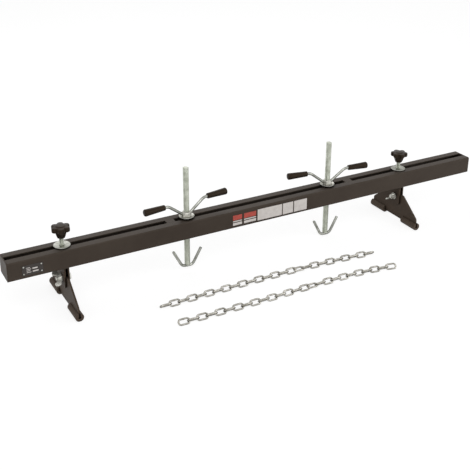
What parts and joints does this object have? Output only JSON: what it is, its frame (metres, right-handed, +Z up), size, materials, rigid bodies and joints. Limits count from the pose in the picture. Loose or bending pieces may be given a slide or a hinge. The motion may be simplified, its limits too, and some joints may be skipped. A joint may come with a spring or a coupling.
{
  "type": "engine support bar",
  "caption": "Slotted steel bar on two clamped tilting feet with rubber sleeves, carrying two screw hooks with handled nuts; two loose chains lie beside it",
  "frame": {"origin": "on the floor, under the middle of the part with its chains", "axes": "+X along the bar, +Y from the chains towards the bar, +Z up"},
  "size_m": [1.5, 0.3808, 0.3135],
  "materials": {
    "black_paint": "semi-matt",
    "dark_paint": "semi-matt",
    "zinc": "zinc plated, satin",
    "black_plastic": "fine texture",
    "dark_rubber": "matt"
  },
  "bodies": {
    "bar": {"front_channel": "black_paint", "left_bottom_bridge": "black_paint", "left_end_plate": "black_paint", "left_top_bridge": "black_paint", "rear_channel": "black_paint", "right_bottom_bridge": "black_paint", "right_end_plate": "black_paint", "right_top_bridge": "black_paint"},
    "left_support": {"left_clamp_stud": "zinc", "left_clamp_washer": "zinc", "left_bracket": "dark_paint", "left_guide_block": "dark_paint", "left_pivot_bolt": "zinc", "left_head_washer": "zinc", "left_nut_washer": "zinc"},
    "left_knob": {"left_star_knob": "black_plastic", "left_knob_insert": "zinc"},
    "left_wing": {"left_wing_nut": "zinc"},
    "left_foot": {"left_foot_plate": "dark_paint", "left_front_sleeve": "dark_rubber", "left_rear_sleeve": "dark_rubber"},
    "left_hook_carriage": {"left_hook_washer": "zinc"},
    "left_hook_turner": {"left_hook_nut": "zinc", "left_hook_left_handle": "zinc", "left_hook_right_handle": "zinc", "left_hook_left_grip": "black_plastic", "left_hook_right_grip": "black_plastic"},
    "left_hook": {"left_hook_rod": "zinc", "left_prong_bar": "zinc"},
    "right_support": {"right_clamp_stud": "zinc", "right_clamp_washer": "zinc", "right_bracket": "dark_paint", "right_guide_block": "dark_paint", "right_pivot_bolt": "zinc", "right_head_washer": "zinc", "right_nut_washer": "zinc"},
    "right_knob": {"right_star_knob": "black_plastic", "right_knob_insert": "zinc"},
    "right_wing": {"right_wing_nut": "zinc"},
    "right_foot": {"right_foot_plate": "dark_paint", "right_front_sleeve": "dark_rubber", "right_rear_sleeve": "dark_rubber"},
    "right_hook_carriage": {"right_hook_washer": "zinc"},
    "right_hook_turner": {"right_hook_nut": "zinc", "right_hook_left_handle": "zinc", "right_hook_right_handle": "zinc", "right_hook_left_grip": "black_plastic", "right_hook_right_grip": "black_plastic"},
    "right_hook": {"right_hook_rod": "zinc", "right_prong_bar": "zinc"},
    "rear_chain_body": {"rear_chain": "zinc"},
    "front_chain_body": {"front_chain": "zinc"}
  },
  "joints": [
    {"name": "left_support_slide", "type": "slide", "parent": "bar", "child": "left_support", "axis": [1, 0, 0], "range_m": [-0.134, 0.16]},
    {"name": "left_knob_turn", "type": "hinge", "parent": "left_support", "child": "left_knob", "pos_m": [-0.59767, 0.08243, 0.1945], "axis": [0, 0, 1], "continuous": true},
    {"name": "left_wing_nut_turn", "type": "hinge", "parent": "left_support", "child": "left_wing", "pos_m": [-0.61167, 0.08243, 0.075], "axis": [1, 0, 0], "continuous": true},
    {"name": "left_foot_pivot", "type": "hinge", "parent": "left_support", "child": "left_foot", "pos_m": [-0.59767, 0.08243, 0.075], "axis": [1, 0, 0], "range_deg": [-25, 25]},
    {"name": "right_support_slide", "type": "slide", "parent": "bar", "child": "right_support", "axis": [1, 0, 0], "range_m": [-0.05, 0.245]},
    {"name": "right_knob_turn", "type": "hinge", "parent": "right_support", "child": "right_knob", "pos_m": [0.48644, 0.08243, 0.1945], "axis": [0, 0, 1], "continuous": true},
    {"name": "right_wing_nut_turn", "type": "hinge", "parent": "right_support", "child": "right_wing", "pos_m": [0.47244, 0.08243, 0.075], "axis": [1, 0, 0], "continuous": true},
    {"name": "right_foot_pivot", "type": "hinge", "parent": "right_support", "child": "right_foot", "pos_m": [0.48644, 0.08243, 0.075], "axis": [1, 0, 0], "range_deg": [-25, 25]},
    {"name": "left_hook_slide", "type": "slide", "parent": "bar", "child": "left_hook_carriage", "axis": [1, 0, 0], "range_m": [-0.027, 0.095]},
    {"name": "left_nut_turn", "type": "hinge", "parent": "left_hook_carriage", "child": "left_hook_turner", "pos_m": [-0.24462, 0.08243, 0.1745], "axis": [0, 0, 1], "range_deg": [-7200, 18000]},
    {"name": "left_hook_lift", "type": "slide", "parent": "left_hook_carriage", "child": "left_hook", "axis": [0, 0, 1], "range_m": [-0.1, 0.04]},
    {"name": "right_hook_slide", "type": "slide", "parent": "bar", "child": "right_hook_carriage", "axis": [1, 0, 0], "range_m": [-0.095, 0.053]},
    {"name": "right_nut_turn", "type": "hinge", "parent": "right_hook_carriage", "child": "right_hook_turner", "pos_m": [0.21957, 0.08243, 0.1745], "axis": [0, 0, 1], "range_deg": [-7200, 18000]},
    {"name": "right_hook_lift", "type": "slide", "parent": "right_hook_carriage", "child": "right_hook", "axis": [0, 0, 1], "range_m": [-0.1, 0.04]},
    {"name": "rear_chain_lift", "type": "slide", "parent": "bar", "child": "rear_chain_body", "axis": [0, 0, 1], "range_m": [0, 0.25]},
    {"name": "front_chain_lift", "type": "slide", "parent": "bar", "child": "front_chain_body", "axis": [0, 0, 1], "range_m": [0, 0.25]}
  ],
  "couplings": [
    {"joint": "left_hook_lift", "follows": "left_nut_turn", "m_per_rad": -0.0003183},
    {"joint": "right_hook_lift", "follows": "right_nut_turn", "m_per_rad": -0.0003183}
  ]
}
